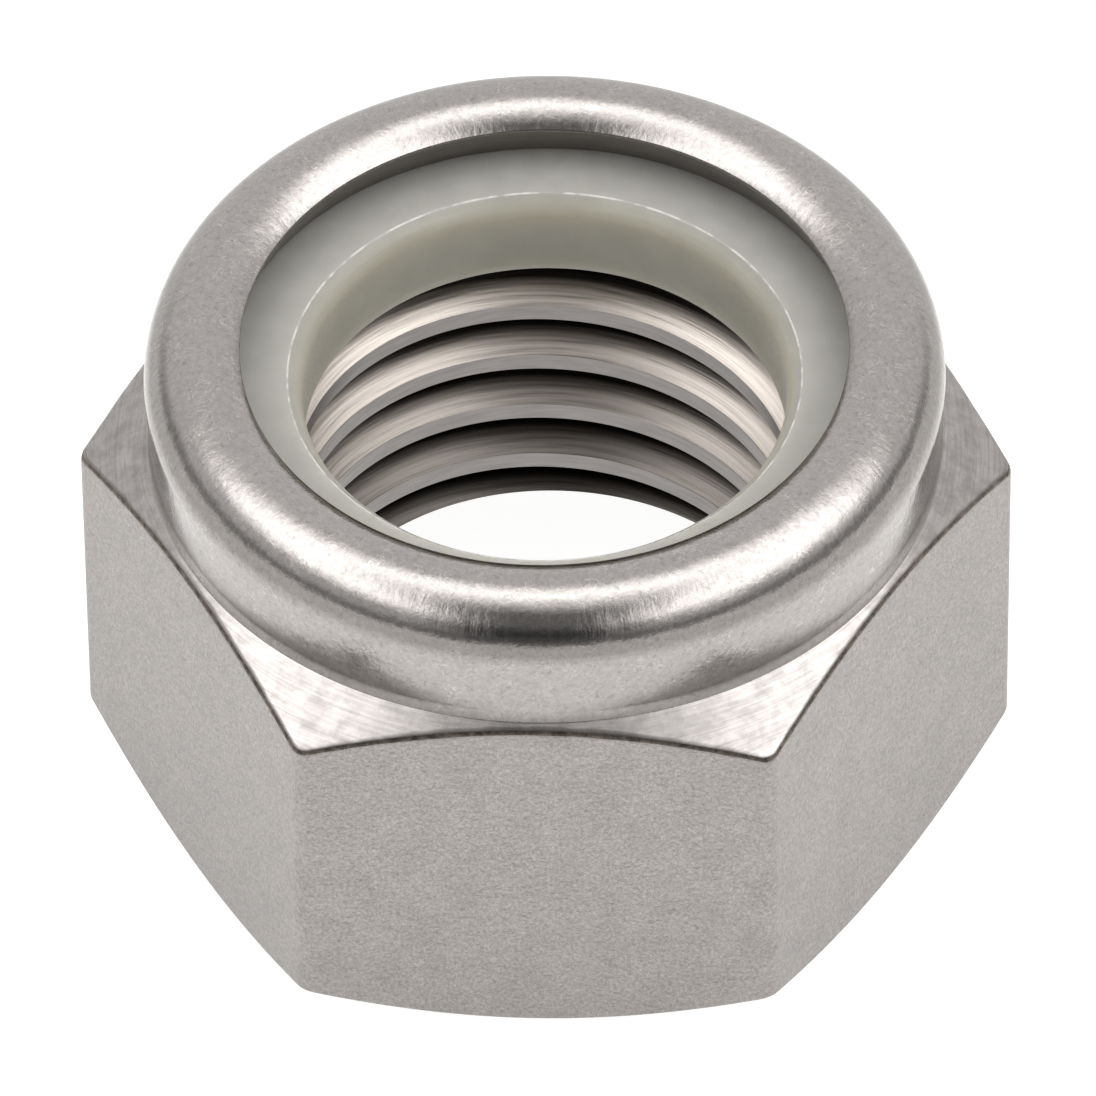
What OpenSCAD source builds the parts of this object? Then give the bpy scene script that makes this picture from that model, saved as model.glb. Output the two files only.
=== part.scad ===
// Hexagon lock nut with a nylon insert, for a bolt of 1 inch by 8 threads to the inch.
// The steel nut is one piece: a hexagon with a round collar, whose rim is rolled in over the ring.
// The nylon ring sits on a seat inside the collar. Its hole is smaller than the thread,
// so a bolt forms its own way through the ring and is gripped by it.
// The widths are laid out from the thread outwards, and the heights from the bearing face, z = 0.
// All lengths are millimetres.

/* [Thread] */
// Major diameter of the thread
thread_d = 25.4; // [20:0.1:32]
// Pitch of the thread
thread_pitch = 3.175; // [2.5:0.025:3.8]
// Angle between the flanks
thread_angle = 60; // [55:1:60]
// Share of the pitch that is flat on the crests
crest_flat_share = 0.35; // [0.3:0.01:0.4]
// Height of the threaded part, from the bearing face to the insert's seat
thread_h = 18.6; // [15:0.1:24]
// Direction, seen from above, in which the groove crosses the bearing face
thread_start_angle = -44; // [-180:1:180]
// How far the countersink reaches past the thread, on the bearing face
countersink_rim = 2.3; // [1:0.1:2.4]
// Whole angle of the countersink
countersink_angle = 90; // [80:1:110]
// How far the thread's chamfer reaches past the thread, on the insert's seat
entry_rim = 0.4; // [0.1:0.05:1]
// Whole angle of the chamfer at the insert's seat
entry_angle = 120; // [90:1:130]

/* [Insert] */
// Thickness of the insert
insert_h = 4.2; // [3.6:0.05:5]
// Width of the insert's band, from its hole to its rim
insert_band = 4.65; // [4.2:0.05:5.5]
// How far the insert stands inside the thread's crests
insert_bite = 0.5; // [0.1:0.05:0.6]
// Height of the bevel at the mouth of the insert's hole
mouth_bevel_h = 0.65; // [0.3:0.05:1.5]
// How much wider the bevel makes the hole at its mouth
mouth_bevel_w = 0.65; // [0.3:0.05:1]
// Rounding of the edge of the mouth
mouth_edge_r = 0.1; // [0.05:0.05:0.3]
// Clearance between the insert and the collar's wall
insert_play = 0.05; // [0.02:0.01:0.15]

/* [Collar] */
// Thickness of the collar's wall at the rim
collar_wall = 2.25; // [1.8:0.05:2.6]
// Radius of the rolled rim, seen in section
rim_r = 2.55; // [2.3:0.05:3]
// Radius inside the bend of the rim
bend_r = 0.7; // [0.3:0.1:1]
// How far the rim reaches inwards, from the centre of its bend to the edge of its lip
lip_reach = 1.75; // [1.2:0.05:2]
// How far the lip's face leans back below its edge
lip_undercut = 0.75; // [0.1:0.05:0.9]
// How far the foot of the collar's wall lies inside the rim
foot_inset = 0.15; // [0.1:0.05:0.5]

/* [Hexagon] */
// Width of the ledge between the foot of the collar and the middle of a flat
shoulder_w = 0.45; // [0.1:0.05:1.5]
// Height of the top of a flat, at its middle, above the insert's seat
shoulder_rise = 0.25; // [-1:0.05:0.5]
// Height of the foot of a flat, at its middle, above the bearing face
flat_foot_z = 0.3; // [0.1:0.05:1]
// Radius of the upright corners
corner_r = 0.9; // [0.3:0.1:2]
// Slope of both chamfers, from the horizontal
chamfer_angle = 30; // [20:1:35]

/* [Hidden] */
$fn = 96;

// Steps in one turn of the thread's groove
thread_steps = 40;
// Steps in the arc of the edge of the mouth
edge_steps = 5;
// Share of the pitch that is flat at the bottom of the groove
root_flat_share = 1 / 8;
// How far a cut runs past the surface that it opens
overrun = 0.5;
// How far the collar's wall runs on down into the hexagon
root_depth = 1;

// Thread: the groove's depth follows from its pitch, its angle and its two flats
flank = tan(thread_angle / 2);
thread_depth = thread_pitch * (1 - root_flat_share - crest_flat_share) / 2 / flank;
groove_r = thread_d / 2;
bore_r = groove_r - thread_depth;
countersink_r = groove_r + countersink_rim;
countersink_h = (countersink_r - bore_r) / tan(countersink_angle / 2);
entry_r = groove_r + entry_rim;
entry_h = (entry_r - bore_r) / tan(entry_angle / 2);

// Insert, and the pocket that holds it
insert_bore_r = bore_r - insert_bite;
insert_r = insert_bore_r + insert_band;
insert_top_z = thread_h + insert_h;
pocket_r = insert_r + insert_play;
bend_x = pocket_r - bend_r;
bend_z = insert_top_z - bend_r;
// The bevel of the mouth ends above in a small arc
bevel_z = insert_top_z - mouth_bevel_h;
bevel_angle = atan2(mouth_bevel_h, mouth_bevel_w);
edge_x = insert_bore_r + mouth_bevel_w + mouth_edge_r * tan(bevel_angle / 2);
edge_z = insert_top_z - mouth_edge_r;

// The rolled rim is a round bead in section, level with the top of the insert
rim_out_r = pocket_r + collar_wall;
rim_x = rim_out_r - rim_r;
rim_z = insert_top_z;
nut_h = rim_z + rim_r;
lip_r = rim_x - lip_reach;
lip_edge_z = rim_z + sqrt(rim_r ^ 2 - lip_reach ^ 2);

// Hexagon
hex_sides = 6;
side_angle = 360 / hex_sides;
foot_r = rim_out_r - foot_inset;
half_flats = foot_r + shoulder_w;
half_corners = half_flats / cos(side_angle / 2);
flat_top_z = thread_h + shoulder_rise;
// Centre of the rounding of a corner, from the axis
corner_centre = (half_flats - corner_r) / cos(side_angle / 2);
slope = tan(chamfer_angle);
// Edge of the bearing face, where the lower chamfer starts
bearing_edge_r = half_flats - flat_foot_z / slope;
// Height at which the upper chamfer meets the foot of the collar's wall
foot_z = flat_top_z + shoulder_w * slope;
// The upper chamfer runs on inwards, inside the collar, to here
chamfer_in_r = foot_r - overrun;
chamfer_in_z = foot_z + overrun * slope;

// The wall leans out from its foot until it runs smoothly into the bead, at join
lean_run = rim_x - foot_r;
lean_rise = rim_z - foot_z;
wall_angle = atan2(lean_rise, lean_run) - asin(rim_r / norm([lean_run, lean_rise]));
join_x = rim_x + rim_r * sin(wall_angle);
join_z = rim_z - rim_r * cos(wall_angle);
root_r = foot_r - root_depth / tan(wall_angle);
root_z = foot_z - root_depth;

// Hexagon with round corners
module hexagon_outline() {
    polygon([for (i = [0 : hex_sides - 1], side = [-1, 1])
        let (corner = i * side_angle, normal = corner + side * side_angle / 2)
        [corner_centre * cos(corner) + corner_r * cos(normal),
         corner_centre * sin(corner) + corner_r * sin(normal)]]);
    for (i = [0 : hex_sides - 1])
        rotate(i * side_angle) translate([corner_centre, 0]) circle(r = corner_r);
}

// Half section of the turned blank, which takes the hexagon's corners off above and below
module chamfer_outline() {
    reach = half_corners + overrun;
    polygon([
        [0, 0],
        [bearing_edge_r, 0],
        [reach, (reach - bearing_edge_r) * slope],
        [reach, flat_top_z - (reach - half_flats) * slope],
        [chamfer_in_r, chamfer_in_z],
        [0, chamfer_in_z]
    ]);
}

// Half section of the collar: leaning wall and rolled rim
module collar_outline() {
    polygon([[0, root_z], [root_r, root_z], [join_x, join_z], [rim_x, rim_z], [0, rim_z]]);
    translate([rim_x, rim_z]) circle(r = rim_r);
}

// Half section of the pocket under the rim, and of the opening inside the lip
module pocket_outline() {
    polygon([
        [0, thread_h], [pocket_r, thread_h], [pocket_r, bend_z], [bend_x, bend_z],
        [bend_x, insert_top_z], [lip_r + lip_undercut, insert_top_z],
        [lip_r, lip_edge_z], [lip_r, nut_h + overrun], [0, nut_h + overrun]
    ]);
    translate([bend_x, bend_z]) circle(r = bend_r);
}

// Groove of the right-hand thread, swept up a helix: one ring of four points for each step
module thread_groove() {
    first = -thread_steps;
    last = ceil((thread_h / thread_pitch + 1) * thread_steps);
    inner_r = bore_r - overrun;
    root_half = thread_pitch * root_flat_share / 2;
    mouth_half = root_half + (groove_r - inner_r) * flank;
    section = [[inner_r, -mouth_half], [groove_r, -root_half], [groove_r, root_half], [inner_r, mouth_half]];
    sides = len(section);
    rings = last - first + 1;
    points = [for (step = [first : last], corner = section)
        let (turn = step / thread_steps, angle = thread_start_angle + 360 * turn)
        [corner[0] * cos(angle), corner[0] * sin(angle), corner[1] + thread_pitch * turn]];
    walls = [for (ring = [0 : rings - 2], k = [0 : sides - 1], half = [0, 1])
        let (a = ring * sides + k, b = ring * sides + (k + 1) % sides)
        half == 0 ? [a, b, b + sides] : [a, b + sides, a + sides]];
    near_end = [[for (k = [sides - 1 : -1 : 0]) k]];
    far_end = [[for (k = [0 : sides - 1]) (rings - 1) * sides + k]];
    polyhedron(points, concat(walls, near_end, far_end), convexity = 10);
}

module nut_body() {
    color("#a8a5a1")
    difference() {
        union() {
            intersection() {
                linear_extrude(height = nut_h) hexagon_outline();
                rotate_extrude() chamfer_outline();
            }
            rotate_extrude() collar_outline();
        }
        rotate_extrude() pocket_outline();
        translate([0, 0, -overrun]) cylinder(h = thread_h + 2 * overrun, r = bore_r);
        cylinder(h = countersink_h, r1 = countersink_r, r2 = bore_r);
        translate([0, 0, thread_h - entry_h]) cylinder(h = entry_h, r1 = bore_r, r2 = entry_r);
        thread_groove();
    }
}

// Half section of the ring: flat below, with its outer edge rounded to lie in the bend of the rim
module insert_outline() {
    shoulder_x = insert_r - bend_r;
    body = [[insert_bore_r, thread_h], [insert_r, thread_h], [insert_r, bend_z], [shoulder_x, bend_z],
        [shoulder_x, insert_top_z]];
    edge = [for (step = [0 : edge_steps]) let (angle = 90 + bevel_angle * step / edge_steps)
        [edge_x + mouth_edge_r * cos(angle), edge_z + mouth_edge_r * sin(angle)]];
    polygon(concat(body, edge, [[insert_bore_r, bevel_z]]));
    translate([shoulder_x, bend_z]) circle(r = bend_r);
}

module nylon_insert() {
    color("#b3b8b0") rotate_extrude() insert_outline();
}

nut_body();
nylon_insert();
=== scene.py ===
# %% [markdown]
# # A nylon insert lock nut
# The nut is one piece of stainless steel: a hexagon with a round collar, and a coarse thread inside.
# A ring of nylon lies in the collar, and the collar's rim is rolled in over it.
# Both pieces are round about the Z axis, apart from the six flats and the thread.
# This lesson turns each of them from a drawn section, cuts the thread with a helix,
# and then gives every surface the finish that its making left on it.

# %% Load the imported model
import math

import bpy
import numpy as np
from mathutils import Matrix, Quaternion, Vector, noise


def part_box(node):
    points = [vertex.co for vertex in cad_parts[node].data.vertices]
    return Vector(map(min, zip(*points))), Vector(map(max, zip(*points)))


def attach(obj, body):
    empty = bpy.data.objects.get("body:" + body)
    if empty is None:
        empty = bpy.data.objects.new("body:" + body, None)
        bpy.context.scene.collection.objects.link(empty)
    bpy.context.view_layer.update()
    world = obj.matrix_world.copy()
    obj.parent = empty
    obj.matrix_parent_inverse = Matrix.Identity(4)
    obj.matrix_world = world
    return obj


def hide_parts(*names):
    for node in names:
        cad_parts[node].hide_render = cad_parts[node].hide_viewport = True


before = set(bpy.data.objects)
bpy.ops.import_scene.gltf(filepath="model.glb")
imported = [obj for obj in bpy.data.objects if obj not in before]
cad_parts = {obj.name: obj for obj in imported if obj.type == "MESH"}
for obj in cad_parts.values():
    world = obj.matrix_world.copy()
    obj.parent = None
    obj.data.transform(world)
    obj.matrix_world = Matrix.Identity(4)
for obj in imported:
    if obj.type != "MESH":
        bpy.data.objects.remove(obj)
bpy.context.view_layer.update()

print("nodes:", list(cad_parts))

# %% [markdown]
# ## Sizes
# The frame holds the sizes that both models share: half the width across the flats, the height,
# the seat of the ring and the ring's own widths. The others are the drawing's sizes, written once
# here in millimetres. Blender works in metres, so each of them is scaled by one constant. The
# depths of marks on the surface are given in microns, thousandths of a millimetre.

# %% Sizes of the nut
MM = 0.001
MICRON = MM / 1000
ring_low, ring_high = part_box("nylon_insert")
half_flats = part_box("nut_body")[1].y
nut_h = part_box("nut_body")[1].z
seat_z = ring_low.z
ring_top_z = ring_high.z
ring_r = ring_high.x

thread_r = 12.7 * MM
thread_pitch = 3.175 * MM
crest_share = 0.28
root_share = 0.125
flank_slope = math.tan(math.radians(30))
thread_depth = thread_pitch * (1 - crest_share - root_share) / 2 / flank_slope
bore_r = thread_r - thread_depth
print(f"flats {2 * half_flats / MM:.2f} mm, height {nut_h / MM:.2f} mm, bore {2 * bore_r / MM:.2f} mm")

# %% [markdown]
# ## The hexagon, seen from the axis
# A lathe makes round sections and a press makes flats. To draw both in one section, it helps to
# know how far the hexagon reaches in each direction. The upright corners are rounded, so more
# directions are placed there than on the flats.

# %% Directions round the nut
CORNER_STEPS = 12
FLAT_STEPS = 56
corner_r = 0.9 * MM


def hexagon_directions():
    """The directions round the axis, and the hexagon's reach in each."""
    centre = (half_flats - corner_r) / math.cos(math.pi / 6)
    places = []
    for side in range(6):
        corner = side * math.pi / 3
        for step in range(CORNER_STEPS + 1):
            normal = corner + (step / CORNER_STEPS - 0.5) * math.pi / 3
            places.append((centre * math.cos(corner) + corner_r * math.cos(normal),
                           centre * math.sin(corner) + corner_r * math.sin(normal)))
        middle = corner + math.pi / 6
        first = math.atan2(places[-1][1], places[-1][0]) % (2 * math.pi)
        for step in range(1, FLAT_STEPS):
            direction = first + 2 * (middle - first) * step / FLAT_STEPS
            reach = half_flats / math.cos(direction - middle)
            places.append((reach * math.cos(direction), reach * math.sin(direction)))
    places = np.array(places)
    return np.arctan2(places[:, 1], places[:, 0]), np.hypot(places[:, 0], places[:, 1])


directions, hexagon_r = hexagon_directions()
print(len(directions), "directions, corners reach", round(hexagon_r.max() / MM, 2), "mm")

# %% [markdown]
# ## Drawing a section
# A section is a row of points, each with a radius and a height, and each point may differ with the
# direction. An arc gives the round parts. Every real edge is slightly rounded too, by the tool or
# by tumbling, and it is that rounding which catches the light, so a second helper rounds a corner.


# %% Helpers that draw a section
def spot(r, z):
    """One point of the section, in every direction."""
    return np.stack(np.broadcast_arrays(r, z, directions)[:2], axis=-1).astype(float)


def arc(centre_r, centre_z, radius, first, last, steps):
    """Points on a round part of the section."""
    return [spot(centre_r + radius * math.cos(a), centre_z + radius * math.sin(a))
            for a in np.linspace(first, last, steps + 1)]


def rounded(before, corner, after, radius, steps):
    """Points that round the corner between two straight edges."""
    come = (corner - before) / np.linalg.norm(corner - before, axis=1, keepdims=True)
    go = (after - corner) / np.linalg.norm(after - corner, axis=1, keepdims=True)
    turn = np.arctan2(come[:, 0] * go[:, 1] - come[:, 1] * go[:, 0], (come * go).sum(axis=1))
    radius = np.broadcast_to(radius, turn.shape)[:, None]
    start = corner - come * radius * np.tan(np.abs(turn) / 2)[:, None]
    arm = np.stack([come[:, 1], -come[:, 0]], axis=1) * np.sign(turn)[:, None] * radius
    points = []
    for share in np.linspace(0, 1, steps + 1):
        c, s = np.cos(turn * share), np.sin(turn * share)
        swung = np.stack([arm[:, 0] * c - arm[:, 1] * s, arm[:, 0] * s + arm[:, 1] * c], axis=1)
        points.append(start - arm + swung)
    return points


def uneven(size, waves, seed):
    """A small wander with the direction, of the kind that a worn tool or a burr leaves."""
    return np.array([size * noise.noise(Vector((math.cos(a) * waves, math.sin(a) * waves, seed)))
                     for a in directions])


print("a point of the section is an array of", spot(MM, 0).shape, "numbers")

# %% [markdown]
# ## The hexagon's section
# The section starts at the mouth of the hole and runs outwards and up: the bearing face, the lower
# chamfer, the flat and the upper chamfer. Where the upper chamfer cuts the flat, the blank was
# tumbled and the turning tool then pushed up a burr, so that edge is soft and wanders a little.
# Its rounding takes no more than three quarters of the chamfer where the chamfer is narrow.

# %% Section of the hexagon
SHARP_R = 0.1 * MM
SOFT_R = 0.55 * MM
CHAMFER_ANGLE = math.radians(30)
flat_foot_z = 0.3 * MM
flat_top_z = seat_z + 0.25 * MM
chamfer_slope = math.tan(CHAMFER_ANGLE)
countersink_rim = 2.3 * MM
countersink_r = thread_r + countersink_rim
shoulder_w = 0.38 * MM
foot_r = half_flats - shoulder_w
foot_z = flat_top_z + (half_flats - foot_r) * chamfer_slope

burr = uneven(0.09 * MM, 30, 1.5) + uneven(0.06 * MM, 110, 2.5)
throat = spot(bore_r, countersink_r - bore_r)
mouth = spot(countersink_r, 0)
bearing = spot(half_flats - flat_foot_z / chamfer_slope, 0)
flat_foot = spot(hexagon_r, flat_foot_z + (hexagon_r - half_flats) * chamfer_slope)
flat_top = spot(hexagon_r, flat_top_z - (hexagon_r - half_flats) * chamfer_slope)
foot = spot(foot_r, foot_z)
ledge = np.linalg.norm(flat_top - foot, axis=1)
most_of_ledge = 0.75 * ledge
soft_r = np.minimum(SOFT_R + burr, most_of_ledge / chamfer_slope)

section = []
section.append(("turned", rounded(throat, mouth, bearing, SHARP_R, 3)))
section.append(("turned", rounded(mouth, bearing, flat_foot, SHARP_R, 3)))
section.append(("tumbled", rounded(bearing, flat_foot, flat_top, SOFT_R / 2, 5)))
edge = rounded(flat_foot, flat_top, foot, soft_r, 8)
section.append(("tumbled", edge[:3]))
section.append(("worn", edge[3:6]))
section.append(("turned", edge[6:]))
print("the upper chamfer is", (ledge.min() / MM).round(2), "to", (ledge.max() / MM).round(2), "mm wide")

# %% [markdown]
# ## The collar's section
# The collar was rolled. At its foot the turning tool left a tight corner and a skirt that curves up
# into the wall. The wall leans out a little and runs smoothly into a round bead, whose inner lip
# holds the ring down.

# %% Section of the collar
BEAD_STEPS = 56
SKIRT_R = 1.6 * MM
SKIRT_TURN = math.radians(20)
FILLET_R = 0.1 * MM
foot_inset = 0.08 * MM
lip_reach = 1.75 * MM
rim_r = nut_h - ring_top_z
rim_out_r = foot_r + foot_inset
rim_x = rim_out_r - rim_r
wall_foot_r = foot_r - SKIRT_R * (1 - math.cos(SKIRT_TURN))
wall_foot_z = foot_z + SKIRT_R * math.sin(SKIRT_TURN)
to_bead = Vector((rim_x - wall_foot_r, ring_top_z - wall_foot_z))
wall_up = math.atan2(to_bead.y, to_bead.x) - math.asin(rim_r / to_bead.length)
wall_out = wall_up - math.pi / 2
lip_r = rim_x - lip_reach
lip_angle = math.acos(-lip_reach / rim_r)

bead = arc(rim_x, ring_top_z, rim_r, wall_out, lip_angle, BEAD_STEPS)
skirt = arc(wall_foot_r + SKIRT_R, wall_foot_z, SKIRT_R, math.pi + SKIRT_TURN, math.pi, 8)
fillet = rounded(flat_top, foot, skirt[1], FILLET_R, 5)
section.append(("turned", fillet[:2]))
section.append(("rolled", fillet[2:]))
section.append(("rolled", skirt[1:]))
section.append(("rolled", bead[:-2]))
print("the wall leans out by", round(90 - math.degrees(wall_up), 1), "degrees")
print("bead radius", round(rim_r / MM, 2), "mm, its lip at radius", round(lip_r / MM, 2), "mm")

# %% [markdown]
# ## The pocket and the bore
# Inside the lip the section leans back, bends round the ring's shoulder, drops to the seat and
# comes in to the bore through a small chamfer. The last straight run is the crest of the thread.

# %% Section of the inside
ENTRY_ANGLE = math.radians(30)
ring_play = 0.05 * MM
bend_r = 0.7 * MM
entry_rim = 0.4 * MM
lip_undercut = 0.75 * MM
pocket_r = ring_r + ring_play
entry_r = thread_r + entry_rim
entry_z = seat_z - (entry_r - bore_r) * math.tan(ENTRY_ANGLE)
lip_edge = bead[-1]
lip_foot = spot(lip_r + lip_undercut, ring_top_z)

section.append(("rolled", rounded(bead[-2], lip_edge, lip_foot, SHARP_R, 4)))
section.append(("bored", [lip_foot]))
section.append(("bored", arc(pocket_r - bend_r, ring_top_z - bend_r, bend_r, math.pi / 2, 0, 5)))
section.append(("bored", [spot(pocket_r, seat_z), spot(entry_r, seat_z)]))
section.append(("bored", [spot(bore_r, entry_z)]))
section.append(("bored", [throat]))
print(sum(len(points) for finish, points in section), "points in the section")

# %% [markdown]
# ## From a section to a mesh
# Each point of the section becomes a ring of vertices, and each pair of rings a band of faces.
# The faces are wound so that their normals point out of the metal, which the cut needs later.
# Every band keeps the number of its finish, and that number picks its material.

# %% Turn a section into a mesh
FINISHES = ["tumbled", "worn", "turned", "rolled", "bored", "tapped"]


def turned_mesh(name, section, angles):
    """A closed ring swept round the Z axis from a closed section."""
    rows = np.stack([p for finish, points in section for p in points])
    marks = [FINISHES.index(finish) for finish, points in section for p in points]
    count, around = len(rows), len(angles)
    places = np.stack([rows[..., 0] * np.cos(angles), rows[..., 0] * np.sin(angles), rows[..., 1]], axis=-1)
    faces, finishes = [], []
    for i in range(count):
        above = (i + 1) % count
        for j in range(around):
            beside = (j + 1) % around
            faces.append((i * around + j, i * around + beside, above * around + beside, above * around + j))
        finishes += [marks[above]] * around
    mesh = bpy.data.meshes.new(name)
    mesh.from_pydata(places.reshape(-1, 3).tolist(), [], faces)
    mesh.polygons.foreach_set("material_index", finishes)
    return mesh


def add_object(name, mesh):
    """An object at the origin that shows the mesh."""
    piece = bpy.data.objects.new(name, mesh)
    bpy.context.scene.collection.objects.link(piece)
    return piece


nut = add_object("steel_nut", turned_mesh("steel_nut", section, directions))
print(len(nut.data.polygons), "faces before the thread is cut")

# %% [markdown]
# ## Cutting the thread
# A tap cuts a groove that climbs by one pitch in each turn. Here a bar with the groove's section
# is swept along that helix and taken away from the bore. The groove's root and its two edges are
# rounded, since a tap has no sharp corners, and the thin rounding draws the bright line on a crest.
# The rounded edge starts a hair inside the bore and the bar overruns it, so that the cut is clean.

# %% Section of the groove
GROOVE_STEPS = 150
INSIDE = 0.012 * MM
OVERRUN = 0.3 * MM
thread_start = math.radians(-44)
edge_r = 0.09 * MM
root_r = 0.25 * MM


def groove_side():
    """The upper half of the groove's section, from inside the bore to the root."""
    root = np.array([[thread_r, thread_pitch * root_share / 2]])
    edge_at = bore_r - INSIDE
    edge = np.array([[edge_at, root[0, 1] + (thread_r - edge_at) * flank_slope]])
    crest = edge + np.array([[0, edge_r]])
    across = root - np.array([[0, root_r]])
    points = rounded(crest, edge, root, edge_r, 4) + rounded(edge, root, across, root_r, 4)[:-1]
    inner = points[0] - np.array([[OVERRUN, 0]])
    return np.concatenate([inner] + points)


upper = groove_side()
groove_section = np.concatenate([upper, upper[::-1] * [1, -1]])
print("groove", round((thread_r - bore_r) / MM, 3), "mm deep, drawn with", len(groove_section), "points")


# %% Sweep the groove up its helix
def groove_mesh():
    """The groove's bar, wound from below the nut to above the seat."""
    turns = seat_z / thread_pitch + 2
    rings = int(turns * GROOVE_STEPS)
    turn = np.arange(rings + 1)[:, None] / GROOVE_STEPS - 1
    angle = thread_start + 2 * math.pi * turn
    r, z = groove_section[:, 0], groove_section[:, 1]
    places = np.stack([r * np.cos(angle), r * np.sin(angle), z + thread_pitch * turn], axis=-1)
    sides = len(groove_section)
    faces = [[k for k in reversed(range(sides))], [rings * sides + k for k in range(sides)]]
    for ring in range(rings):
        for k in range(sides):
            a, b = ring * sides + k, ring * sides + (k + 1) % sides
            faces.append((a, b, b + sides, a + sides))
    mesh = bpy.data.meshes.new("groove")
    mesh.from_pydata(places.reshape(-1, 3).tolist(), [], faces)
    mesh.polygons.foreach_set("material_index", [FINISHES.index("tapped")] * len(faces))
    return mesh


groove = add_object("groove", groove_mesh())
print(len(groove.data.polygons), "faces on the groove's bar")

# %% [markdown]
# ## Taking the groove away
# A boolean modifier does the cut, and the result is written back into the mesh. Long thin faces
# meet small rounded ones along the crests, so the normals are weighted by area: the crests and
# flats then stay flat to the eye, and the small roundings carry the whole turn of the light.
# The modifier that weights them ignores areas below 0.0001, and in square metres a nut has no
# larger ones, so the mesh is counted in millimetres while it works.


# %% Cut, and shade the result
SHARP_FROM = 35


def apply_modifiers(piece):
    """Write what the modifiers make into the piece's own mesh."""
    graph = bpy.context.evaluated_depsgraph_get()
    made = bpy.data.meshes.new_from_object(piece.evaluated_get(graph))
    piece.modifiers.clear()
    piece.data = made


def shade(piece, sharp_from):
    """Smooth shading, with edges kept sharp from a given angle in degrees."""
    piece.data.shade_smooth()
    piece.data.set_sharp_from_angle(angle=math.radians(sharp_from))
    piece.data.transform(Matrix.Scale(1 / MM, 4))
    weighted = piece.modifiers.new("weighted_normals", "WEIGHTED_NORMAL")
    weighted.keep_sharp = True
    apply_modifiers(piece)
    piece.data.transform(Matrix.Scale(MM, 4))


for finish in FINISHES:
    stand_in = bpy.data.materials.new(finish)
    nut.data.materials.append(stand_in)
    groove.data.materials.append(stand_in)
cut = nut.modifiers.new("thread", "BOOLEAN")
cut.operation = "DIFFERENCE"
cut.solver = "MANIFOLD"
cut.object = groove
apply_modifiers(nut)
bpy.data.objects.remove(groove)
shade(nut, SHARP_FROM)
nut.data.calc_loop_triangles()
print(len(nut.data.loop_triangles), "triangles in the nut")

# %% [markdown]
# ## The nylon ring
# The ring is moulded and then trapped: its outer shoulder follows the bend of the rim, and its hole
# is a little smaller than the thread, so that a bolt has to press its own way through. The mouth
# of the hole has a bevel, which leads the bolt in and runs softly into the wall below it. The ring
# has one finish all over, so the marks of its section are set back to the first material.

# %% Turn the ring
bite = 0.35 * MM
mouth_bevel = 0.65 * MM
mouth_curve_r = 1.2 * MM
ring_bore_r = bore_r - bite
ring_mouth_r = ring_bore_r + mouth_bevel
low_in = spot(ring_bore_r, seat_z)
land_in = spot(ring_bore_r, ring_top_z - mouth_bevel)
low_out = spot(ring_r, seat_z)
high_out = spot(ring_r, ring_top_z)
high_in = spot(ring_mouth_r, ring_top_z)
ring_section = [
    ("bored", rounded(high_in, land_in, low_in, mouth_curve_r, 8)),
    ("bored", rounded(land_in, low_in, low_out, SHARP_R, 3)),
    ("bored", rounded(low_in, low_out, high_out, SHARP_R, 3)),
    ("bored", rounded(low_out, high_out, high_in, bend_r, 8)),
    ("bored", [spot((ring_r + ring_mouth_r) / 2, ring_top_z)]),
    ("bored", rounded(high_out, high_in, land_in, SHARP_R, 5)),
]
ring = add_object("nylon_ring", turned_mesh("nylon_ring", ring_section, directions))
ring.data.polygons.foreach_set("material_index", [0] * len(ring.data.polygons))
shade(ring, SHARP_FROM)
print("hole in the ring", round(2 * ring_bore_r / MM, 2), "mm")

# %% [markdown]
# ## Building materials
# A material is a small graph of nodes. One helper adds a node, sets it up and links it. Colours are
# given as the hex values that a screen shows, and one function turns them to the linear values
# that light is reckoned in. Patterns are placed in millimetres, so that a scale of 4 means four
# grains to the millimetre.


# %% Helpers for materials
def linear(hex_colour):
    """Linear red, green, blue and alpha of an sRGB hex colour."""
    shares = [int(hex_colour[i:i + 2], 16) / 255 for i in (1, 3, 5)]
    return [s / 12.92 if s <= 0.04045 else ((s + 0.055) / 1.055) ** 2.4 for s in shares] + [1]


def add_node(tree, kind, inputs, **settings):
    """Add a node with its settings and links. A node given as an input means its first output."""
    node = tree.nodes.new(kind)
    for name, value in settings.items():
        setattr(node, name, value)
    for name, value in inputs.items():
        if isinstance(value, bpy.types.Node):
            value = value.outputs[0]
        if isinstance(value, bpy.types.NodeSocket):
            tree.links.new(value, node.inputs[name])
        else:
            node.inputs[name].default_value = value
    return node


def start_material(name, colour):
    """An empty material, its tree of nodes, and the places on the piece in millimetres."""
    material = bpy.data.materials.new(name)
    material.use_nodes = True
    material.diffuse_color = linear(colour)
    tree = material.node_tree
    tree.nodes.clear()
    at = add_node(tree, "ShaderNodeTexCoord", {}).outputs["Object"]
    in_mm = add_node(tree, "ShaderNodeVectorMath", {0: at, "Scale": 1 / MM}, operation="SCALE")
    return material, tree, in_mm


print("#BCBCBC is", round(linear("#BCBCBC")[0], 3), "of white light")

# %% [markdown]
# Turning leaves fine rings round the axis. A pattern in rings needs the radius or the height as
# its fine coordinate, and the direction as its slow one. The direction is taken as the unit vector
# towards the point, and not as an angle, because an angle jumps by a whole turn somewhere.


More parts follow.
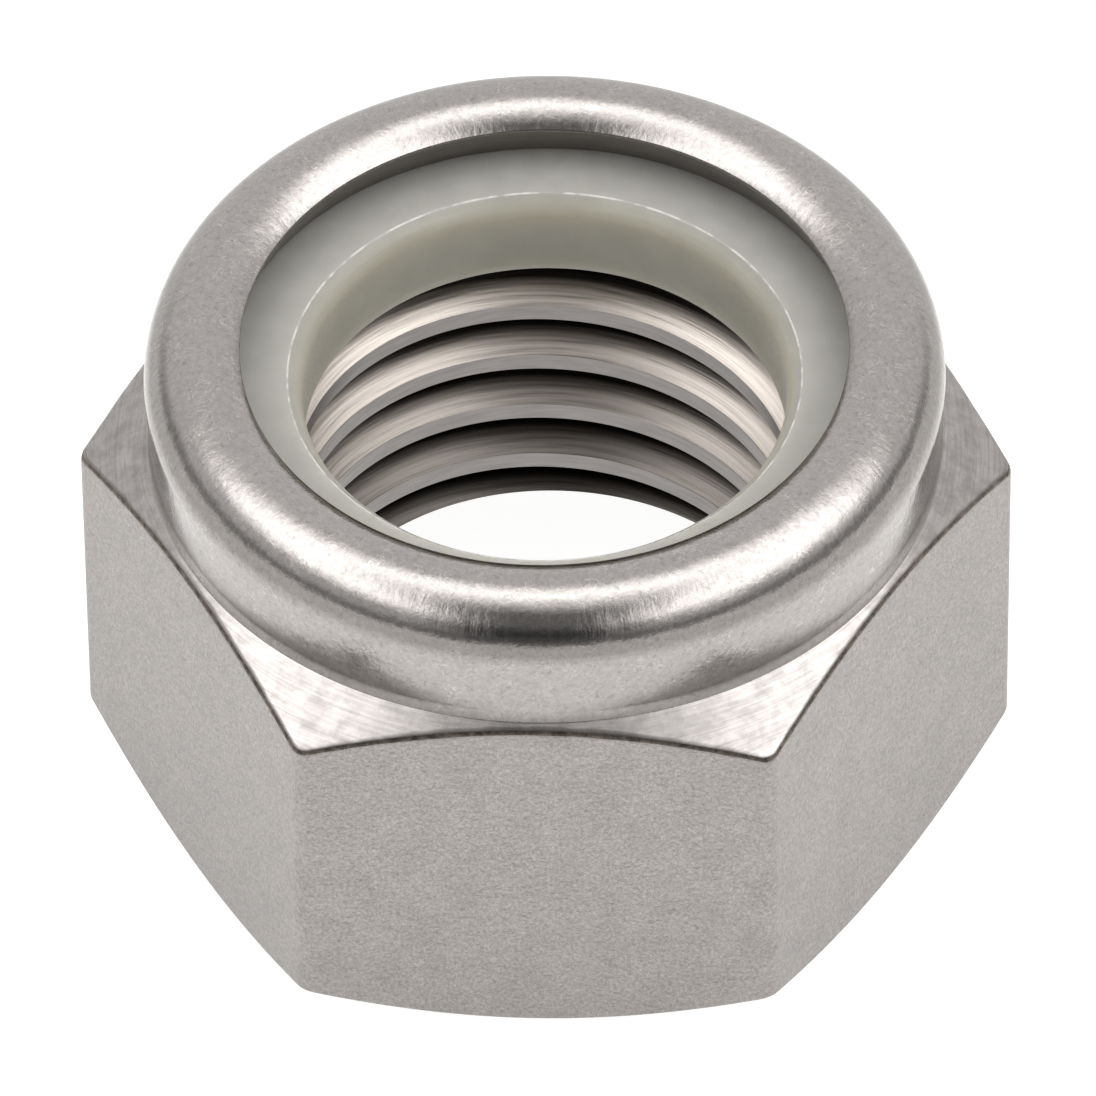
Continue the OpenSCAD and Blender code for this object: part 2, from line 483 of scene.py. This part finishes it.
# %% Coordinates for turned patterns
def ring_places(tree, in_mm, slow, fine_r, fine_z):
    """The radius, and places that change slowly round the axis and quickly with radius and height."""
    parts = add_node(tree, "ShaderNodeSeparateXYZ", {0: in_mm}).outputs
    flat = add_node(tree, "ShaderNodeCombineXYZ", {"X": parts["X"], "Y": parts["Y"]})
    radius = add_node(tree, "ShaderNodeVectorMath", {0: flat}, operation="LENGTH").outputs["Value"]
    unit = add_node(tree, "ShaderNodeVectorMath", {0: flat}, operation="NORMALIZE")
    around = add_node(tree, "ShaderNodeVectorMath", {0: unit, "Scale": slow}, operation="SCALE")
    out = add_node(tree, "ShaderNodeMath", {0: radius, 1: fine_r}, operation="MULTIPLY")
    rise = add_node(tree, "ShaderNodeMath", {0: parts["Z"], 1: fine_z, 2: out}, operation="MULTIPLY_ADD")
    lift = add_node(tree, "ShaderNodeCombineXYZ", {"Z": rise})
    places = add_node(tree, "ShaderNodeVectorMath", {0: around, 1: lift}, operation="ADD")
    return places, radius


RINGS_PER_MM = 11.0
print("the turning tool left a ring every", round(1 / RINGS_PER_MM, 2), "mm")

# %% [markdown]
# ## Tumbled stainless steel
# The flats were pressed and then tumbled with grit, which leaves a dull skin of tiny crossed
# strokes. Stainless steel reflects a warm grey. The strokes are about 0.1 mm wide and 0.3 mm long,
# and curl about, so they are drawn as the contour lines of a noise: a sine turns each step of its
# height into one stroke. Finer ones would not show, so they are left to the roughness. Grit of a
# sixth of a millimetre and slow blotches two millimetres wide lie over them. Towards the foot the
# skin is painted a little darker: a painted shade for the shadow on the table next to the nut, which
# the flats mirror.

# %% Material of the flats
STEEL = "#ADA8A5"
DULL_STEEL = "#A5A09D"
tumbled, tree, in_mm = start_material("stainless_tumbled", DULL_STEEL)
hills = add_node(tree, "ShaderNodeTexNoise", {
    "Vector": in_mm, "Scale": 2.8, "Detail": 2.0, "Roughness": 0.5, "Distortion": 1.0})
slopes = add_node(tree, "ShaderNodeMath", {0: hills, 1: 44.0}, operation="MULTIPLY")
strokes = add_node(tree, "ShaderNodeMath", {0: slopes}, operation="SINE")
grit = add_node(tree, "ShaderNodeTexNoise", {
    "Vector": in_mm, "Scale": 6.0, "Detail": 2.0, "Roughness": 0.6})
blotches = add_node(tree, "ShaderNodeTexNoise", {
    "Vector": in_mm, "Scale": 0.5, "Detail": 4.0, "Roughness": 0.6})
fine = add_node(tree, "ShaderNodeMapRange", {
    "Value": grit, "From Min": 0.34, "From Max": 0.66, "To Min": 0.82, "To Max": 1.1})
drawn = add_node(tree, "ShaderNodeMath", {0: strokes, 1: 0.09, 2: fine}, operation="MULTIPLY_ADD")
cloudy = add_node(tree, "ShaderNodeMapRange", {
    "Value": blotches, "From Min": 0.35, "From Max": 0.65, "To Min": 0.9, "To Max": 1.06})
up = add_node(tree, "ShaderNodeSeparateXYZ", {0: in_mm}).outputs["Z"]
# Painted shade: the flats darken towards the foot, for the table's shadow near the nut that they mirror.
painted_foot_shade = add_node(tree, "ShaderNodeMapRange", {
    "Value": up, "From Min": 1.0, "From Max": 17.0, "To Min": 0.92, "To Max": 1.1})
even = add_node(tree, "ShaderNodeMath", {0: cloudy, 1: painted_foot_shade}, operation="MULTIPLY")
brightness = add_node(tree, "ShaderNodeMath", {0: drawn, 1: even}, operation="MULTIPLY")
skin = add_node(tree, "ShaderNodeHueSaturation", {"Color": linear(DULL_STEEL), "Value": brightness})
dullness = add_node(tree, "ShaderNodeMapRange", {
    "Value": blotches, "From Min": 0.3, "From Max": 0.7, "To Min": 0.36, "To Max": 0.46})
bump = add_node(tree, "ShaderNodeBump", {"Height": strokes, "Distance": 4 * MICRON})
shader = add_node(tree, "ShaderNodeBsdfPrincipled", {
    "Base Color": skin, "Metallic": 1.0, "Roughness": dullness, "Normal": bump})
add_node(tree, "ShaderNodeOutputMaterial", {"Surface": shader})
print(tumbled.name, "has", len(tree.nodes), "nodes")

# %% [markdown]
# ## The worn edge
# The soft edge above the flats took the knocks in the tumbling barrel. It is darker than the rest,
# because its torn metal scatters the light and holds some grime. Bright nicks about 0.4 mm wide
# break it up.

# %% Material of the edge
WORN_STEEL = "#6E665F"
worn, tree, in_mm = start_material("stainless_worn", WORN_STEEL)
knocks = add_node(tree, "ShaderNodeTexNoise", {
    "Vector": in_mm, "Scale": 2.6, "Detail": 4.0, "Roughness": 0.7, "Distortion": 0.8})
brightness = add_node(tree, "ShaderNodeMapRange", {
    "Value": knocks, "From Min": 0.38, "From Max": 0.66, "To Min": 0.6, "To Max": 1.6})
torn = add_node(tree, "ShaderNodeHueSaturation", {"Color": linear(WORN_STEEL), "Value": brightness})
bump = add_node(tree, "ShaderNodeBump", {"Height": knocks, "Distance": 25 * MICRON})
shader = add_node(tree, "ShaderNodeBsdfPrincipled", {
    "Base Color": torn, "Metallic": 1.0, "Roughness": 0.36, "Normal": bump})
add_node(tree, "ShaderNodeOutputMaterial", {"Surface": shader})
print(worn.name, "has", len(tree.nodes), "nodes")

# %% [markdown]
# ## Turned stainless steel
# The chamfers and the bearing face were faced on a lathe. The tool leaves rings about 0.1 mm
# apart that waver, with duller blotches where the metal tore, on a surface that is otherwise
# brighter than the flats.

# %% Material of the chamfers
FACED_STEEL = "#AAA5A2"
turned, tree, in_mm = start_material("stainless_turned", FACED_STEEL)
places, radius = ring_places(tree, in_mm, 5.0, RINGS_PER_MM, 3.0)
rings = add_node(tree, "ShaderNodeTexNoise", {
    "Vector": places, "Scale": 1.0, "Detail": 3.0, "Roughness": 0.6, "Distortion": 0.6})
lined = add_node(tree, "ShaderNodeMapRange", {
    "Value": rings, "From Min": 0.36, "From Max": 0.6, "To Min": 0.9, "To Max": 1.1})
blotches = add_node(tree, "ShaderNodeTexNoise", {
    "Vector": in_mm, "Scale": 1.2, "Detail": 4.0, "Roughness": 0.65})
torn = add_node(tree, "ShaderNodeMapRange", {
    "Value": blotches, "From Min": 0.34, "From Max": 0.6, "To Min": 0.8, "To Max": 1.08})
brightness = add_node(tree, "ShaderNodeMath", {0: lined, 1: torn}, operation="MULTIPLY")
faced = add_node(tree, "ShaderNodeHueSaturation", {"Color": linear(FACED_STEEL), "Value": brightness})
dullness = add_node(tree, "ShaderNodeMapRange", {
    "Value": rings, "From Min": 0.3, "From Max": 0.7, "To Min": 0.28, "To Max": 0.2})
bump = add_node(tree, "ShaderNodeBump", {"Height": rings, "Distance": 3 * MICRON})
shader = add_node(tree, "ShaderNodeBsdfPrincipled", {
    "Base Color": faced, "Metallic": 1.0, "Roughness": dullness, "Normal": bump})
add_node(tree, "ShaderNodeOutputMaterial", {"Surface": shader})
print(turned.name, "has", len(tree.nodes), "nodes")

# %% [markdown]
# ## Rolled stainless steel
# The roller that bent the rim left a satin skin: smoother than the flats, with pebbly dents, curly
# rub marks and short scratches that run over the bead, fine round the axis and long across it. The
# roller pressed less on the wall below the bead, so the wall stayed duller. The pebbles and pits are
# about 0.3 mm wide and the dents 1 mm. The scratches are 0.3 mm wide too, coarser than real ones, so
# that they show.

# %% Material of the collar
rolled, tree, in_mm = start_material("stainless_rolled", STEEL)
pebbles = add_node(tree, "ShaderNodeTexNoise", {
    "Vector": in_mm, "Scale": 4.0, "Detail": 3.0, "Roughness": 0.6, "Distortion": 0.6})
dents = add_node(tree, "ShaderNodeTexNoise", {"Vector": in_mm, "Scale": 0.9, "Detail": 2.0})
places, radius = ring_places(tree, in_mm, 60.0, 1.5, 1.0)
scratches = add_node(tree, "ShaderNodeTexNoise", {
    "Vector": places, "Scale": 1.0, "Detail": 3.0, "Distortion": 1.0})
hills = add_node(tree, "ShaderNodeTexNoise", {
    "Vector": in_mm, "Scale": 1.6, "Detail": 2.0, "Distortion": 1.2})
slopes = add_node(tree, "ShaderNodeMath", {0: hills, 1: 40.0}, operation="MULTIPLY")
strokes = add_node(tree, "ShaderNodeMath", {0: slopes}, operation="SINE")
patchy = add_node(tree, "ShaderNodeMapRange", {
    "Value": pebbles, "From Min": 0.3, "From Max": 0.7, "To Min": 0.88, "To Max": 1.08})
rubbed = add_node(tree, "ShaderNodeMath", {0: strokes, 1: 0.035, 2: patchy}, operation="MULTIPLY_ADD")
deepest = add_node(tree, "ShaderNodeMapRange", {"Value": strokes, "From Min": 0.8, "From Max": 1.0})
knocked = add_node(tree, "ShaderNodeMapRange", {
    "Value": dents, "From Min": 0.5, "From Max": 0.62, "To Min": 0.0, "To Max": 0.3})
bare = add_node(tree, "ShaderNodeMath", {0: deepest, 1: knocked}, operation="MULTIPLY")
marked = add_node(tree, "ShaderNodeMath", {0: rubbed, 1: bare}, operation="ADD")
pits = add_node(tree, "ShaderNodeTexNoise", {
    "Vector": in_mm, "Scale": 3.2, "Detail": 4.0, "Roughness": 0.7})
pitted = add_node(tree, "ShaderNodeMapRange", {
    "Value": pits, "From Min": 0.34, "From Max": 0.44, "To Min": 0.8, "To Max": 1.0})
brightness = add_node(tree, "ShaderNodeMath", {0: marked, 1: pitted}, operation="MULTIPLY")
satin = add_node(tree, "ShaderNodeHueSaturation", {"Color": linear(STEEL), "Value": brightness})
height = add_node(tree, "ShaderNodeSeparateXYZ", {0: in_mm}).outputs["Z"]
low_down = add_node(tree, "ShaderNodeMapRange", {
    "Value": height, "From Min": 20.0, "From Max": 22.0, "To Min": 0.16, "To Max": 0.0})
gloss = add_node(tree, "ShaderNodeMapRange", {
    "Value": scratches, "From Min": 0.3, "From Max": 0.7, "To Min": 0.12, "To Max": 0.2})
dullness = add_node(tree, "ShaderNodeMath", {0: gloss, 1: low_down}, operation="ADD")
dented = add_node(tree, "ShaderNodeBump", {"Height": dents, "Distance": 24 * MICRON})
pebbled = add_node(tree, "ShaderNodeBump", {"Height": pebbles, "Distance": 8 * MICRON, "Normal": dented})
scratched = add_node(tree, "ShaderNodeBump", {
    "Height": scratches, "Distance": 6 * MICRON, "Normal": pebbled})
shader = add_node(tree, "ShaderNodeBsdfPrincipled", {
    "Base Color": satin, "Metallic": 1.0, "Roughness": dullness, "Normal": scratched})
add_node(tree, "ShaderNodeOutputMaterial", {"Surface": shader})
print(rolled.name, "has", len(tree.nodes), "nodes")

# %% [markdown]
# ## Bored and tapped stainless steel
# The crests are what is left of the drilled bore, and are quite smooth. The bored steel is painted
# darker than the rest, a painted shade for the face under the lip and the crests inside the hole.
# The tap dragged along the flanks, and its streaks run with the thread: long round the axis and very
# fine across the flank. They are drawn 0.2 mm wide, coarser than the real ones, so that they show.
# The steel is painted darker towards the root of the groove and on the lower turns: a painted shade
# for the shadow deep in the groove and down the hole.

# %% Material of the bore
bored, tree, in_mm = start_material("stainless_bored", STEEL)
places, radius = ring_places(tree, in_mm, 6.0, 3.0, 6.0)
lines = add_node(tree, "ShaderNodeTexNoise", {"Vector": places, "Scale": 1.0, "Detail": 2.0})
# Painted shade: the bored steel's colour is turned down to 0.64 to 0.8 of the steel's, for the shade on the
# face under the lip and on the crests in the hole.
brightness = add_node(tree, "ShaderNodeMapRange", {
    "Value": lines, "From Min": 0.3, "From Max": 0.7, "To Min": 0.64, "To Max": 0.8})
smooth = add_node(tree, "ShaderNodeHueSaturation", {"Color": linear(STEEL), "Value": brightness})
bump = add_node(tree, "ShaderNodeBump", {"Height": lines, "Distance": 4 * MICRON})
shader = add_node(tree, "ShaderNodeBsdfPrincipled", {
    "Base Color": smooth, "Metallic": 1.0, "Roughness": 0.32, "Normal": bump})
add_node(tree, "ShaderNodeOutputMaterial", {"Surface": shader})
print(bored.name, "has", len(tree.nodes), "nodes")

# %% Material of the thread
CUT_STEEL = "#B6AEA7"
tapped, tree, in_mm = start_material("stainless_tapped", CUT_STEEL)
places, radius = ring_places(tree, in_mm, 1.6, 5.0, 0.3)
height = add_node(tree, "ShaderNodeSeparateXYZ", {0: in_mm}).outputs["Z"]
streaks = add_node(tree, "ShaderNodeTexNoise", {
    "Vector": places, "Scale": 1.0, "Detail": 3.0, "Roughness": 0.65})
bright = add_node(tree, "ShaderNodeMapRange", {
    "Value": streaks, "From Min": 0.36, "From Max": 0.6, "To Min": 0.72, "To Max": 1.35})
# Painted shade: the steel darkens towards the root of the groove, where shade falls.
painted_root_shade = add_node(tree, "ShaderNodeMapRange", {
    "Value": radius, "From Min": 11.6, "From Max": 12.3, "To Min": 1.08, "To Max": 0.07})
# Painted shade: the steel darkens on the lower turns, deeper down the hole.
painted_depth_shade = add_node(tree, "ShaderNodeMapRange", {
    "Value": height, "From Min": 5.0, "From Max": 18.0, "To Min": 0.32, "To Max": 1.15})
painted_thread_shade = add_node(tree, "ShaderNodeMath", {0: painted_root_shade, 1: painted_depth_shade}, operation="MULTIPLY")
brightness = add_node(tree, "ShaderNodeMath", {0: bright, 1: painted_thread_shade}, operation="MULTIPLY")
cut_steel = add_node(tree, "ShaderNodeHueSaturation", {"Color": linear(CUT_STEEL), "Value": brightness})
dullness = add_node(tree, "ShaderNodeMapRange", {
    "Value": streaks, "From Min": 0.3, "From Max": 0.7, "To Min": 0.28, "To Max": 0.44})
bump = add_node(tree, "ShaderNodeBump", {"Height": streaks, "Distance": 14 * MICRON})
shader = add_node(tree, "ShaderNodeBsdfPrincipled", {
    "Base Color": cut_steel, "Metallic": 1.0, "Roughness": dullness, "Normal": bump})
add_node(tree, "ShaderNodeOutputMaterial", {"Surface": shader})
for index, material in enumerate([tumbled, worn, turned, rolled, bored, tapped]):
    nut.data.materials[index] = material
print("nut finishes:", [m.name for m in nut.data.materials])

# %% [markdown]
# ## Moulded nylon
# Natural nylon is milky: light goes in, scatters and comes out a little further on, so its shadows
# are soft. Its surface is smooth but not glossy. The wall of the hole was reamed, which leaves it
# paler and warmer, with lines round it every 0.2 mm. The wall is painted darker towards its foot and
# lighter towards its top, a painted shade and a painted highlight, and a broken white line along the
# edge of the mouth is a painted highlight too. The milky clouds are 1.5 mm wide, and the scuffs on
# the land are a sixth of a millimetre.

# %% Material of the ring
NYLON = "#9E9C96"
REAMED_NYLON = "#B2AFA2"
HIGHLIGHT_WHITE = "#E6E5E0"
nylon, tree, in_mm = start_material("nylon_natural", NYLON)
haze = add_node(tree, "ShaderNodeTexNoise", {"Vector": in_mm, "Scale": 0.7, "Detail": 3.0})
places, radius = ring_places(tree, in_mm, 4.0, 2.0, 5.0)
rubs = add_node(tree, "ShaderNodeTexNoise", {"Vector": places, "Scale": 1.0, "Detail": 3.0})
scuffs = add_node(tree, "ShaderNodeTexNoise", {"Vector": in_mm, "Scale": 6.0, "Detail": 2.0})
brightness = add_node(tree, "ShaderNodeMapRange", {
    "Value": haze, "From Min": 0.3, "From Max": 0.7, "To Min": 0.95, "To Max": 1.04})
reamed = add_node(tree, "ShaderNodeMapRange", {
    "Value": radius, "From Min": 10.75, "From Max": 11.3, "To Min": 1.0, "To Max": 0.0})
nylon_colour = add_node(tree, "ShaderNodeMix", {
    "Factor": reamed, "A": linear(NYLON), "B": linear(REAMED_NYLON)}, data_type="RGBA")
height = add_node(tree, "ShaderNodeSeparateXYZ", {0: in_mm}).outputs["Z"]
# Painted shade and painted light: the nylon is darker towards the foot of the wall and lighter towards its
# top.
painted_wall_shading = add_node(tree, "ShaderNodeMapRange", {
    "Value": height, "From Min": 18.6, "From Max": 22.0, "To Min": 0.82, "To Max": 1.04})
shade = add_node(tree, "ShaderNodeMath", {0: brightness, 1: painted_wall_shading}, operation="MULTIPLY")
milky = add_node(tree, "ShaderNodeHueSaturation", {
    "Color": nylon_colour.outputs["Result"], "Value": shade})
# Painted highlight: a broken white line along the edge of the mouth.
at_mouth = add_node(tree, "ShaderNodeMath", {
    0: radius, 1: ring_mouth_r / MM, 2: 0.04}, operation="COMPARE")
crumbs = add_node(tree, "ShaderNodeTexNoise", {"Vector": in_mm, "Scale": 1.3, "Detail": 3.0})
broken = add_node(tree, "ShaderNodeMapRange", {
    "Value": crumbs, "From Min": 0.42, "From Max": 0.58, "To Min": 0.0, "To Max": 0.5})
mouth_highlight = add_node(tree, "ShaderNodeMath", {0: at_mouth, 1: broken}, operation="MULTIPLY")
with_mouth = add_node(tree, "ShaderNodeMix", {
    "Factor": mouth_highlight, "A": milky, "B": linear(HIGHLIGHT_WHITE)}, data_type="RGBA")
dullness = add_node(tree, "ShaderNodeMapRange", {
    "Value": scuffs, "From Min": 0.35, "From Max": 0.65, "To Min": 0.28, "To Max": 0.46})
rubbed = add_node(tree, "ShaderNodeBump", {"Height": rubs, "Distance": 14 * MICRON})
scuffed = add_node(tree, "ShaderNodeBump", {"Height": scuffs, "Distance": 3 * MICRON, "Normal": rubbed})
shader = add_node(tree, "ShaderNodeBsdfPrincipled", {
    "Base Color": with_mouth.outputs["Result"], "Roughness": dullness, "IOR": 1.53,
    "Subsurface Weight": 0.8, "Subsurface Radius": (1.0, 0.9, 0.7), "Subsurface Scale": 4 * MM,
    "Normal": scuffed})
add_node(tree, "ShaderNodeOutputMaterial", {"Surface": shader})
ring.data.materials.append(nylon)
print("ring finish:", nylon.name)

# %% [markdown]
# ## Attaching the pieces
# Each modelled piece rides on the CAD body and stands for its CAD node, which is hidden. Each row
# also names a material slot, which is not used here.

# %% Tie the pieces to the frame
for piece, node, slot in [(nut, "nut_body", "stainless_steel"), (ring, "nylon_insert", "nylon")]:
    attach(piece, "root")
    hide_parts(node)
print("pieces:", nut.name, ring.name)

# %% [markdown]
# ## The table
# The nut stands on a white table that glows, as a light table does, most of all under the nut. It
# keeps the picture's ground white, and it is what the upright flats mirror towards the camera. It
# lies a hundredth of a millimetre below the bearing face, so that the two never share a plane.

# %% White table
TABLE_HALF = 0.8
TABLE_DROP = 0.01 * MM
TABLE_GLOW = 0.9
EDGE_GLOW = 0.35
WHITE = "#989896"
corners = [(x * TABLE_HALF, y * TABLE_HALF, -TABLE_DROP) for x, y in [(-1, -1), (1, -1), (1, 1), (-1, 1)]]
mesh = bpy.data.meshes.new("table")
mesh.from_pydata(corners, [], [(0, 1, 2, 3)])
table = add_object("table", mesh)
acrylic, tree, in_mm = start_material("white_acrylic", WHITE)
away = add_node(tree, "ShaderNodeVectorMath", {0: in_mm}, operation="LENGTH").outputs["Value"]
glow = add_node(tree, "ShaderNodeMapRange", {
    "Value": away, "From Min": 32.0, "From Max": 66.0, "To Min": TABLE_GLOW, "To Max": EDGE_GLOW})
shader = add_node(tree, "ShaderNodeBsdfPrincipled", {
    "Base Color": linear(WHITE), "Roughness": 0.6,
    "Emission Color": linear("#FFFFFF"), "Emission Strength": glow})
add_node(tree, "ShaderNodeOutputMaterial", {"Surface": shader})
table.data.materials.append(acrylic)
print("table", 2 * TABLE_HALF, "m wide")

# %% [markdown]
# ## The light
# The nut stands in a white tent. Metal shows little but what it mirrors, so the tent's bright and
# dark places draw the bands on the bead and the chamfers. The tent is painted on the sky, where a
# place is given by its direction: X to the right, Y to the back and Z upwards.


# %% Places on the sky
def window(tree, value, low, high, soft):
    """1 where the value lies between two limits, fading to 0 over a soft edge."""
    rise = add_node(tree, "ShaderNodeMapRange", {
        "Value": value, "From Min": low - soft, "From Max": low + soft}, interpolation_type="SMOOTHSTEP")
    fall = add_node(tree, "ShaderNodeMapRange", {
        "Value": value, "From Min": high - soft, "From Max": high + soft,
        "To Min": 1.0, "To Max": 0.0}, interpolation_type="SMOOTHSTEP")
    return add_node(tree, "ShaderNodeMath", {0: rise, 1: fall}, operation="MULTIPLY")


world = bpy.data.worlds.new("tent")
world.use_nodes = True
bpy.context.scene.world = world
tree = world.node_tree
tree.nodes.clear()
towards = add_node(tree, "ShaderNodeTexCoord", {}).outputs["Generated"]
parts = add_node(tree, "ShaderNodeSeparateXYZ", {0: towards}).outputs
flat = add_node(tree, "ShaderNodeVectorMath", {0: towards, 1: (1, 1, 0)}, operation="MULTIPLY")
level = add_node(tree, "ShaderNodeVectorMath", {0: flat}, operation="NORMALIZE")
to_front = add_node(tree, "ShaderNodeVectorMath", {
    0: level, 1: (0, -1, 0)}, operation="DOT_PRODUCT").outputs["Value"]
print("places on the sky come from", len(tree.nodes), "nodes")

# %% [markdown]
# The walls of the tent are plain white. Between the table and the foot of the walls a dark gap is
# left, except behind the nut. Over it, two thirds of the sky are one large lamp, a little lower on
# the right, which ends just behind the nut.

# %% Walls and lamp of the tent
BACK_LIGHT = 1.15
FRONT_LIGHT = 0.75
GAP_DARK = 0.55
LAMP_LIGHT = 2.6
walls = add_node(tree, "ShaderNodeMapRange", {
    "Value": to_front, "From Min": -1.0, "From Max": 1.0, "To Min": BACK_LIGHT, "To Max": FRONT_LIGHT})
low_down = window(tree, parts["Z"], -0.03, 0.23, 0.07)
not_behind = add_node(tree, "ShaderNodeMapRange", {
    "Value": to_front, "From Min": -0.87, "From Max": -0.5, "To Min": 0.0, "To Max": GAP_DARK})
gap = add_node(tree, "ShaderNodeMath", {0: low_down, 1: not_behind}, operation="MULTIPLY")
past_gap = add_node(tree, "ShaderNodeMath", {0: 1.0, 1: gap}, operation="SUBTRACT")
wall_light = add_node(tree, "ShaderNodeMath", {0: walls, 1: past_gap}, operation="MULTIPLY")

tilted = add_node(tree, "ShaderNodeMath", {0: parts["X"], 1: 0.06, 2: parts["Z"]}, operation="MULTIPLY_ADD")
high_up = add_node(tree, "ShaderNodeMapRange", {
    "Value": tilted, "From Min": 0.38, "From Max": 0.72,
    "To Min": 0.0, "To Max": LAMP_LIGHT}, interpolation_type="SMOOTHSTEP")
height = add_node(tree, "ShaderNodeMath", {0: parts["Z"], 1: 0.05}, operation="MAXIMUM")
backwards = add_node(tree, "ShaderNodeMath", {0: parts["Y"], 1: height}, operation="DIVIDE")
lamp_end = add_node(tree, "ShaderNodeMapRange", {
    "Value": backwards, "From Min": 0.15, "From Max": 0.75,
    "To Min": 1.0, "To Max": 0.0}, interpolation_type="SMOOTHSTEP")
lamp = add_node(tree, "ShaderNodeMath", {0: high_up, 1: lamp_end}, operation="MULTIPLY")
tent = add_node(tree, "ShaderNodeMath", {0: wall_light, 1: lamp}, operation="ADD")
print("walls", FRONT_LIGHT, "to", BACK_LIGHT, "and the lamp adds", LAMP_LIGHT)

# %% [markdown]
# The camera and its stand take up a tall dark slit in front, from the table up to nearly overhead.
# The front of the bead mirrors it as the dark patch in the middle.

# %% Dark slit round the camera
SLIT_DARK = 0.92
slit = window(tree, parts["X"], -0.37, 0.36, 0.2)
above_table = add_node(tree, "ShaderNodeMapRange", {
    "Value": parts["Z"], "From Min": -0.1, "From Max": 0.35}, interpolation_type="SMOOTHSTEP")
towards_front = add_node(tree, "ShaderNodeMapRange", {
    "Value": parts["Y"], "From Min": 0.35, "From Max": -0.5,
    "To Min": 0.0, "To Max": SLIT_DARK}, interpolation_type="SMOOTHSTEP")
standing = add_node(tree, "ShaderNodeMath", {0: above_table, 1: towards_front}, operation="MULTIPLY")
shade_of_slit = add_node(tree, "ShaderNodeMath", {0: slit, 1: standing}, operation="MULTIPLY")
past_slit = add_node(tree, "ShaderNodeMath", {0: 1.0, 1: shade_of_slit}, operation="SUBTRACT")
light = add_node(tree, "ShaderNodeMath", {0: tent, 1: past_slit}, operation="MULTIPLY")
background = add_node(tree, "ShaderNodeBackground", {"Strength": light})
add_node(tree, "ShaderNodeOutputWorld", {"Surface": background})
print("the slit takes", SLIT_DARK, "of the light in front")

# %% [markdown]
# ## The camera
# A long lens from 46 degrees above keeps the hexagon's sides nearly parallel. The picture is square,
# and its ground has to come out pure white, so the plain Standard view is used.

# %% Camera
CAMERA_AROUND = math.radians(2.06)
CAMERA_ABOVE = math.radians(46.206)
CAMERA_ROLL = math.radians(-0.657)
CAMERA_AWAY = 757.7 * MM
CAMERA_AIM = Vector((0.06, 0, 11.73)) * MM
camera = bpy.data.objects.new("camera", bpy.data.cameras.new("camera"))
bpy.context.scene.collection.objects.link(camera)
bpy.context.scene.camera = camera
camera.data.sensor_width = 36
camera.data.lens = 557.7
camera.data.clip_start = 0.05
camera.data.clip_end = 10
level_back = Vector((math.sin(CAMERA_AROUND), -math.cos(CAMERA_AROUND), 0))
back = level_back * math.cos(CAMERA_ABOVE) + Vector((0, 0, math.sin(CAMERA_ABOVE)))
roll = Quaternion((0, 0, 1), CAMERA_ROLL)
camera.rotation_mode = "QUATERNION"
camera.rotation_quaternion = back.to_track_quat("Z", "Y") @ roll
camera.location = CAMERA_AIM + back * CAMERA_AWAY
bpy.context.scene.view_settings.view_transform = "Standard"
print("camera at", [round(v, 3) for v in camera.location])
